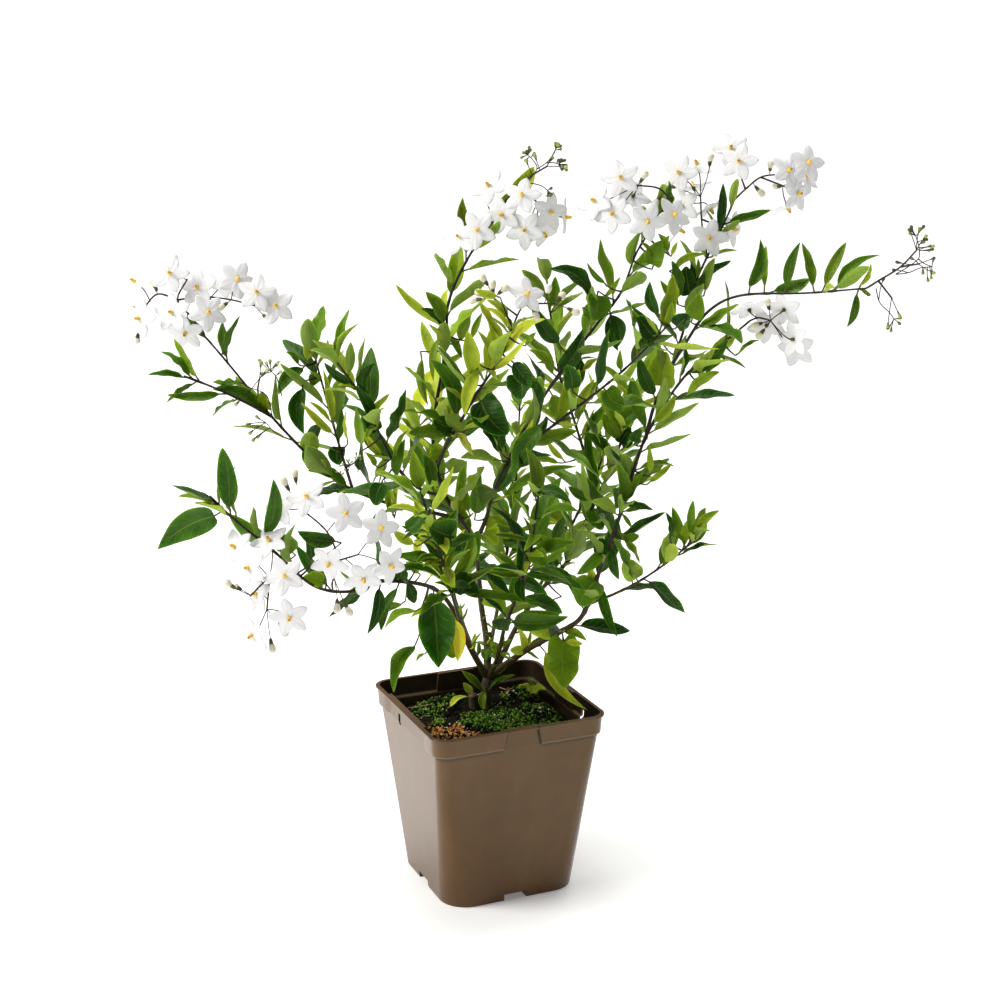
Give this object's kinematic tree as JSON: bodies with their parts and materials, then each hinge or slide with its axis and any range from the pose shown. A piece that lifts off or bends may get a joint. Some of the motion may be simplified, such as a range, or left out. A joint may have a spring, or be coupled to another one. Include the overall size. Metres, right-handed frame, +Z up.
{
  "type": "potato vine in a square nursery pot",
  "caption": "Bushy flowering climber with slender leafy canes and sprays of white star flowers, growing in a tapered square plastic nursery pot.",
  "frame": {"origin": "centre of the pot's flat underside", "axes": "+Z up, +X along the pot's front wall to the right, -Y out of the front wall"},
  "size_m": [0.4662, 0.3478, 0.5303],
  "materials": {
    "pot_plastic": "satin",
    "soil": "rough",
    "bark": "rough",
    "foliage": "satin",
    "blossom": "matte"
  },
  "bodies": {
    "root": {"pot": "pot_plastic", "soil": "soil", "woody_base": "bark", "cane_low_left": "foliage", "cane_centre": "foliage", "cane_right_main": "foliage", "cane_mid_right": "foliage", "cane_back_centre": "foliage", "cane_back_left": "foliage", "cane_front": "foliage", "cane_front_left": "foliage", "cane_left_long": "foliage", "cane_left_mid": "foliage", "cane_left_back": "foliage", "cane_left_shoot": "foliage", "cane_mid_up": "foliage", "cane_right_diag": "foliage", "cane_tall_mid": "foliage", "cane_right_low": "foliage", "cane_right_top": "foliage", "cane_right_long": "foliage", "cane_mid_top": "foliage", "cane_back_right": "foliage", "spray_upper_left": "blossom", "spray_low_left_near": "blossom", "spray_low_left_far": "blossom", "spray_top_middle": "blossom", "spray_middle": "blossom", "spray_top_right": "blossom", "spray_top_right_high": "blossom", "spray_right": "blossom", "spray_right_lower": "blossom", "spray_far_right": "blossom", "spray_left_buds": "blossom"}
  },
  "joints": []
}
